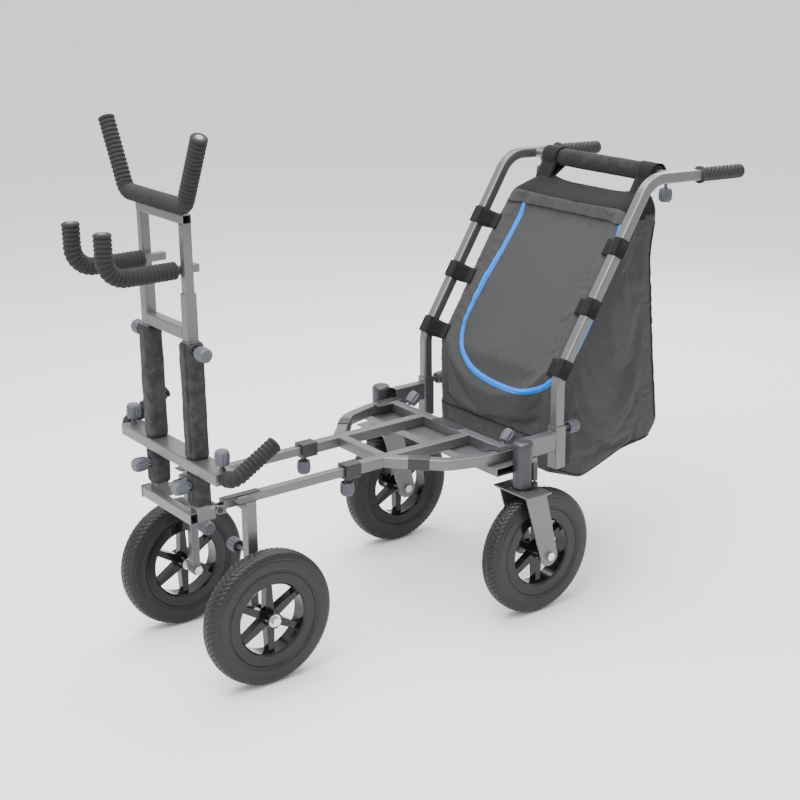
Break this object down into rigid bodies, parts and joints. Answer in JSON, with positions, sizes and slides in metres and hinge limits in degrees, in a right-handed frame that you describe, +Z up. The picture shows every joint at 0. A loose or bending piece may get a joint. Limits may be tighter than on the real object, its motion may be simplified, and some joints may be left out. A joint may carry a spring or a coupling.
{
  "type": "fishing trolley",
  "caption": "Four-wheeled fishing trolley with trailing casters, open tube deck, fold-down rod posts with foam rests, push handle and zipped bag.",
  "frame": {"origin": "middle of the bounding box at ground level", "axes": "+X from the rod posts to the push handles, +Y to the pusher's right, +Z up"},
  "size_m": [1.6172, 0.66, 1.1748],
  "materials": {
    "frame_paint": "satin metallic grey paint",
    "plated_steel": "bright zinc plate",
    "black_plastic": "matte",
    "knob_plastic": "satin",
    "foam": "matte foam rubber",
    "tyre_rubber": "matte",
    "rim_plastic": "gloss",
    "grip_rubber": "matte",
    "bag_fabric": "woven nylon",
    "strap_webbing": "hook-and-loop webbing"
  },
  "bodies": {
    "deck": {"deck_rails": "frame_paint", "deck_side_rails": "frame_paint", "deck_crossmembers": "frame_paint", "deck_grip_strips": "black_plastic", "caster_housings": "black_plastic", "rail_collars": "black_plastic", "handle_arms": "frame_paint"},
    "carriage": {"front_rails": "frame_paint", "fold_fittings": "black_plastic", "leg_sleeves": "frame_paint"},
    "posts": {"post_frame": "frame_paint", "post_pads": "foam", "luggage_crossbar": "frame_paint"},
    "mast": {"mast_frame": "frame_paint", "top_frame": "frame_paint", "rod_rest_foams": "foam"},
    "handle": {"handle_uprights": "frame_paint", "handle_bar": "frame_paint", "handle_bar_pad": "foam", "handle_grips": "grip_rubber", "bag": "bag_fabric", "bag_straps": "strap_webbing"},
    "caster_left": {"caster_fork_left": "frame_paint", "caster_axle_left": "plated_steel"},
    "caster_wheel_left": {"caster_left_rim": "rim_plastic", "caster_left_tyre": "tyre_rubber"},
    "caster_lock_left": {"caster_lock_left": "black_plastic"},
    "leg_left": {"front_leg_left": "frame_paint", "front_axle_left": "plated_steel"},
    "front_wheel_left": {"front_left_rim": "rim_plastic", "front_left_tyre": "tyre_rubber"},
    "horn_left": {"luggage_horn_left": "frame_paint", "horn_foam_left": "foam"},
    "rail_knob_left": {"rail_knob_left": "knob_plastic"},
    "socket_knob_left": {"socket_knob_left": "knob_plastic"},
    "arm_knob_left": {"arm_knob_left": "knob_plastic"},
    "leg_knob_left": {"leg_knob_left": "knob_plastic"},
    "post_knob_left": {"post_knob_left": "knob_plastic"},
    "mast_knob_left": {"mast_knob_left": "knob_plastic"},
    "horn_knob_left": {"horn_knob_left": "knob_plastic"},
    "bar_knob_left": {"bar_knob_left": "knob_plastic"},
    "caster_right": {"caster_fork_right": "frame_paint", "caster_axle_right": "plated_steel"},
    "caster_wheel_right": {"caster_right_rim": "rim_plastic", "caster_right_tyre": "tyre_rubber"},
    "caster_lock_right": {"caster_lock_right": "black_plastic"},
    "leg_right": {"front_leg_right": "frame_paint", "front_axle_right": "plated_steel"},
    "front_wheel_right": {"front_right_rim": "rim_plastic", "front_right_tyre": "tyre_rubber"},
    "horn_right": {"luggage_horn_right": "frame_paint", "horn_foam_right": "foam"},
    "rail_knob_right": {"rail_knob_right": "knob_plastic"},
    "socket_knob_right": {"socket_knob_right": "knob_plastic"},
    "arm_knob_right": {"arm_knob_right": "knob_plastic"},
    "leg_knob_right": {"leg_knob_right": "knob_plastic"},
    "post_knob_right": {"post_knob_right": "knob_plastic"},
    "mast_knob_right": {"mast_knob_right": "knob_plastic"},
    "horn_knob_right": {"horn_knob_right": "knob_plastic"},
    "bar_knob_right": {"bar_knob_right": "knob_plastic"}
  },
  "joints": [
    {"name": "carriage_slide", "type": "slide", "parent": "deck", "child": "carriage", "axis": [-1, 0, 0], "range_m": [-0.15, 0.12]},
    {"name": "post_fold", "type": "hinge", "parent": "carriage", "child": "posts", "pos_m": [-0.58, 0, 0.376], "axis": [0, 1, 0], "range_deg": [0, 88]},
    {"name": "mast_height", "type": "slide", "parent": "posts", "child": "mast", "axis": [0, 0, 1], "range_m": [0, 0.1]},
    {"name": "handle_height", "type": "slide", "parent": "deck", "child": "handle", "axis": [0, 0, 1], "range_m": [0, 0.05]},
    {"name": "caster_swivel_left", "type": "hinge", "parent": "deck", "child": "caster_left", "pos_m": [0.104, -0.27, 0.312], "axis": [0, 0, 1], "continuous": true},
    {"name": "caster_roll_left", "type": "hinge", "parent": "caster_left", "child": "caster_wheel_left", "pos_m": [0.147, -0.27, 0.15], "axis": [0, 1, 0], "continuous": true},
    {"name": "caster_lock_left", "type": "slide", "parent": "deck", "child": "caster_lock_left", "axis": [0, 0, -1], "range_m": [0, 0.006]},
    {"name": "leg_height_left", "type": "slide", "parent": "carriage", "child": "leg_left", "axis": [0, 0, -1], "range_m": [-0.04, 0.06]},
    {"name": "front_roll_left", "type": "hinge", "parent": "leg_left", "child": "front_wheel_left", "pos_m": [-0.528, -0.184, 0.15], "axis": [0, 1, 0], "continuous": true},
    {"name": "horn_slide_left", "type": "slide", "parent": "posts", "child": "horn_left", "axis": [0, -1, 0], "range_m": [0, 0.07]},
    {"name": "rail_knob_turn_left", "type": "hinge", "parent": "deck", "child": "rail_knob_left", "pos_m": [-0.252, -0.087, 0.36], "axis": [0, 0, -1], "range_deg": [0, 180]},
    {"name": "socket_knob_turn_left", "type": "hinge", "parent": "deck", "child": "socket_knob_left", "pos_m": [0.243, -0.246, 0.418], "axis": [1, 0, 0], "range_deg": [0, 180]},
    {"name": "arm_knob_turn_left", "type": "hinge", "parent": "deck", "child": "arm_knob_left", "pos_m": [0.1175, -0.18, 0.3855], "axis": [0.7071, 0, 0.7071], "range_deg": [0, 180]},
    {"name": "leg_knob_turn_left", "type": "hinge", "parent": "carriage", "child": "leg_knob_left", "pos_m": [-0.528, -0.1125, 0.272], "axis": [0, 1, 0], "range_deg": [0, 180]},
    {"name": "post_knob_turn_left", "type": "hinge", "parent": "posts", "child": "post_knob_left", "pos_m": [-0.637, -0.087, 0.444], "axis": [-1, 0, 0], "range_deg": [0, 180]},
    {"name": "mast_knob_turn_left", "type": "hinge", "parent": "posts", "child": "mast_knob_left", "pos_m": [-0.622, -0.102, 0.73], "axis": [0, -1, 0], "range_deg": [0, 180]},
    {"name": "horn_knob_turn_left", "type": "hinge", "parent": "posts", "child": "horn_knob_left", "pos_m": [-0.622, -0.189, 0.5005], "axis": [0, 0, 1], "range_deg": [0, 180]},
    {"name": "bar_knob_turn_left", "type": "hinge", "parent": "handle", "child": "bar_knob_left", "pos_m": [0.585, -0.215, 0.94], "axis": [0, 0, -1], "range_deg": [0, 180]},
    {"name": "caster_swivel_right", "type": "hinge", "parent": "deck", "child": "caster_right", "pos_m": [0.104, 0.27, 0.312], "axis": [0, 0, 1], "continuous": true},
    {"name": "caster_roll_right", "type": "hinge", "parent": "caster_right", "child": "caster_wheel_right", "pos_m": [0.147, 0.27, 0.15], "axis": [0, 1, 0], "continuous": true},
    {"name": "caster_lock_right", "type": "slide", "parent": "deck", "child": "caster_lock_right", "axis": [0, 0, -1], "range_m": [0, 0.006]},
    {"name": "leg_height_right", "type": "slide", "parent": "carriage", "child": "leg_right", "axis": [0, 0, -1], "range_m": [-0.04, 0.06]},
    {"name": "front_roll_right", "type": "hinge", "parent": "leg_right", "child": "front_wheel_right", "pos_m": [-0.528, 0.184, 0.15], "axis": [0, 1, 0], "continuous": true},
    {"name": "horn_slide_right", "type": "slide", "parent": "posts", "child": "horn_right", "axis": [0, 1, 0], "range_m": [0, 0.07]},
    {"name": "rail_knob_turn_right", "type": "hinge", "parent": "deck", "child": "rail_knob_right", "pos_m": [-0.252, 0.087, 0.36], "axis": [0, 0, -1], "range_deg": [0, 180]},
    {"name": "socket_knob_turn_right", "type": "hinge", "parent": "deck", "child": "socket_knob_right", "pos_m": [0.243, 0.246, 0.418], "axis": [1, 0, 0], "range_deg": [0, 180]},
    {"name": "arm_knob_turn_right", "type": "hinge", "parent": "deck", "child": "arm_knob_right", "pos_m": [0.1175, 0.18, 0.3855], "axis": [0.7071, 0, 0.7071], "range_deg": [0, 180]},
    {"name": "leg_knob_turn_right", "type": "hinge", "parent": "carriage", "child": "leg_knob_right", "pos_m": [-0.528, 0.1125, 0.272], "axis": [0, -1, 0], "range_deg": [0, 180]},
    {"name": "post_knob_turn_right", "type": "hinge", "parent": "posts", "child": "post_knob_right", "pos_m": [-0.637, 0.087, 0.444], "axis": [-1, 0, 0], "range_deg": [0, 180]},
    {"name": "mast_knob_turn_right", "type": "hinge", "parent": "posts", "child": "mast_knob_right", "pos_m": [-0.622, 0.102, 0.73], "axis": [0, 1, 0], "range_deg": [0, 180]},
    {"name": "horn_knob_turn_right", "type": "hinge", "parent": "posts", "child": "horn_knob_right", "pos_m": [-0.622, 0.189, 0.5005], "axis": [0, 0, 1], "range_deg": [0, 180]},
    {"name": "bar_knob_turn_right", "type": "hinge", "parent": "handle", "child": "bar_knob_right", "pos_m": [0.585, 0.215, 0.94], "axis": [0, 0, -1], "range_deg": [0, 180]}
  ]
}
